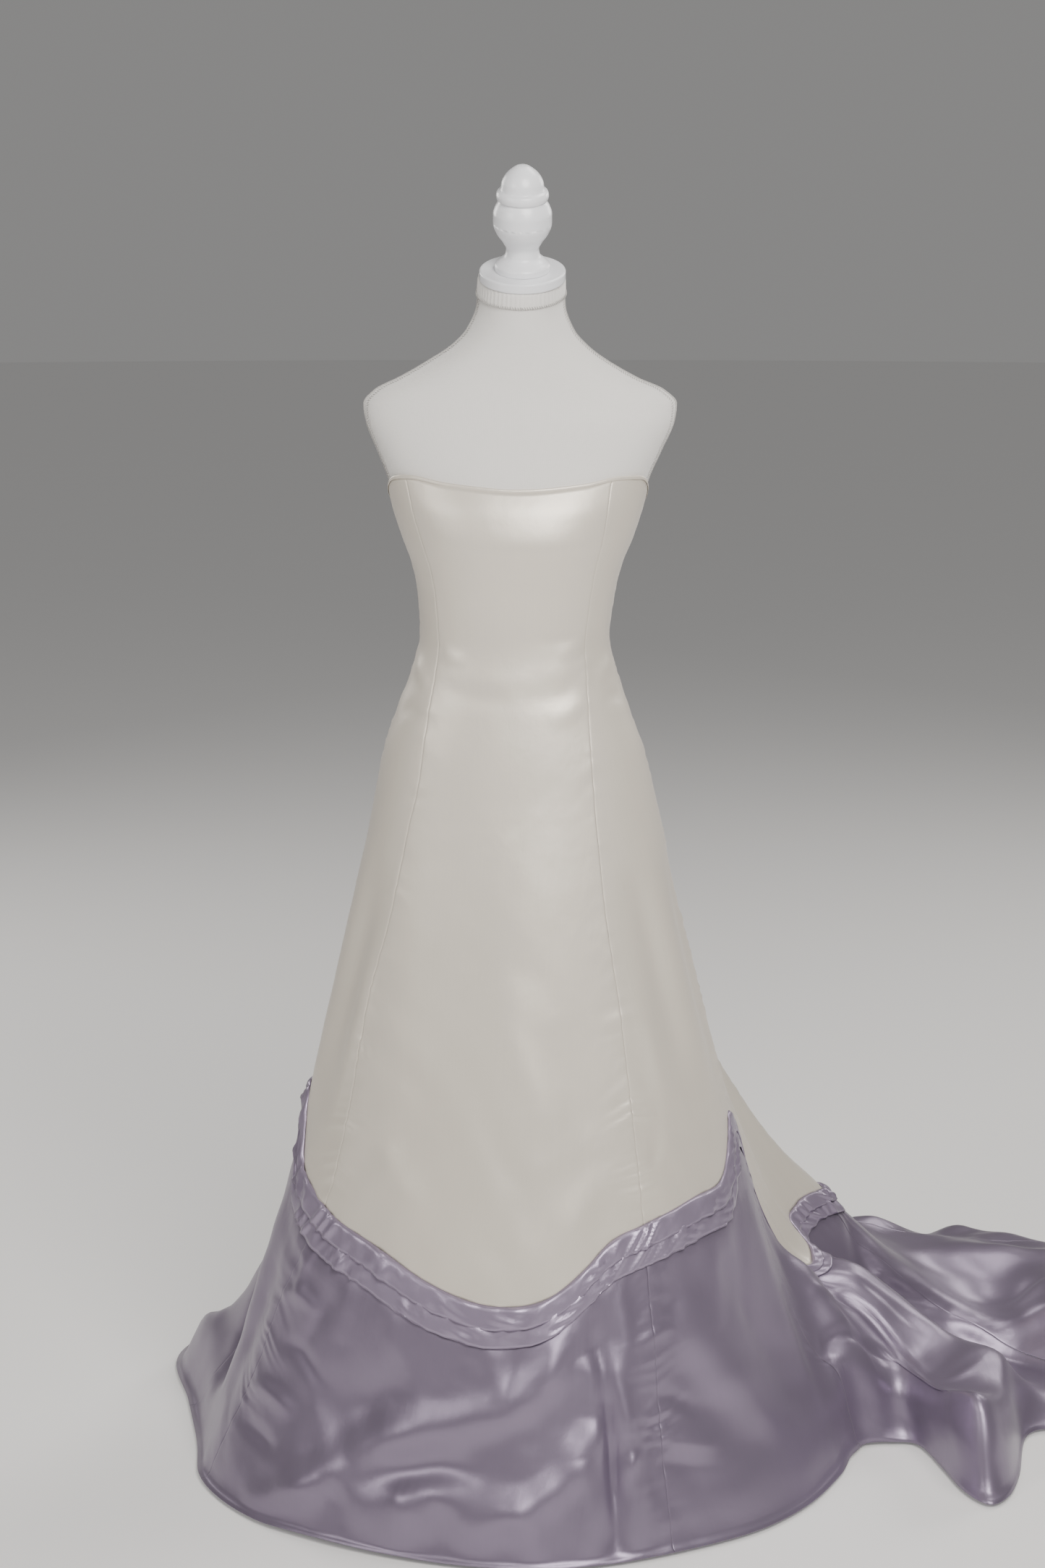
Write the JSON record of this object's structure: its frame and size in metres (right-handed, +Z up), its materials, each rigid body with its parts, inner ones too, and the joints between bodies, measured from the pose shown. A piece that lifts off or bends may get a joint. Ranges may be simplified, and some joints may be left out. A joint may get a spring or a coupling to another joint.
{
  "type": "wedding dress on a dress form",
  "caption": "Strapless princess-line satin wedding dress with a pleated lavender border and a train swept to one side, standing on a limbless dress form",
  "frame": {"origin": "middle of the underside of the stand's base plate, on the floor", "axes": "+Z is up; the front of the dress faces -Y; +X is the viewer's right, the side that the train is swept to"},
  "size_m": [1.5714, 1.0788, 1.7175],
  "materials": {
    "satin_ivory": "ivory duchess satin, soft sheen",
    "satin_lavender": "pale lavender satin, brighter sheen",
    "form_jersey": "off-white matt jersey",
    "white_wood": "turned wood, painted white, satin gloss",
    "stand_metal": "white powder coat"
  },
  "bodies": {
    "root": {"ivory_centre_front": "satin_ivory", "ivory_side_front_right": "satin_ivory", "ivory_side_back_right": "satin_ivory", "ivory_centre_back_right": "satin_ivory", "ivory_centre_back_left": "satin_ivory", "ivory_side_back_left": "satin_ivory", "ivory_side_front_left": "satin_ivory", "neck_binding": "satin_ivory", "back_placket": "satin_ivory", "border_centre_front": "satin_lavender", "border_side_front_right": "satin_lavender", "border_side_back_right": "satin_lavender", "border_centre_back_right": "satin_lavender", "border_centre_back_left": "satin_lavender", "border_side_back_left": "satin_lavender", "border_side_front_left": "satin_lavender", "lower_tuck_front": "satin_lavender", "lower_tuck_right": "satin_lavender", "lower_tuck_left": "satin_lavender", "upper_tuck_front": "satin_lavender", "upper_tuck_right": "satin_lavender", "upper_tuck_left": "satin_lavender", "form_body": "form_jersey", "form_neck_band": "form_jersey", "form_neck_disk": "white_wood", "form_finial": "white_wood", "form_pole": "stand_metal", "form_base": "stand_metal"}
  },
  "joints": []
}
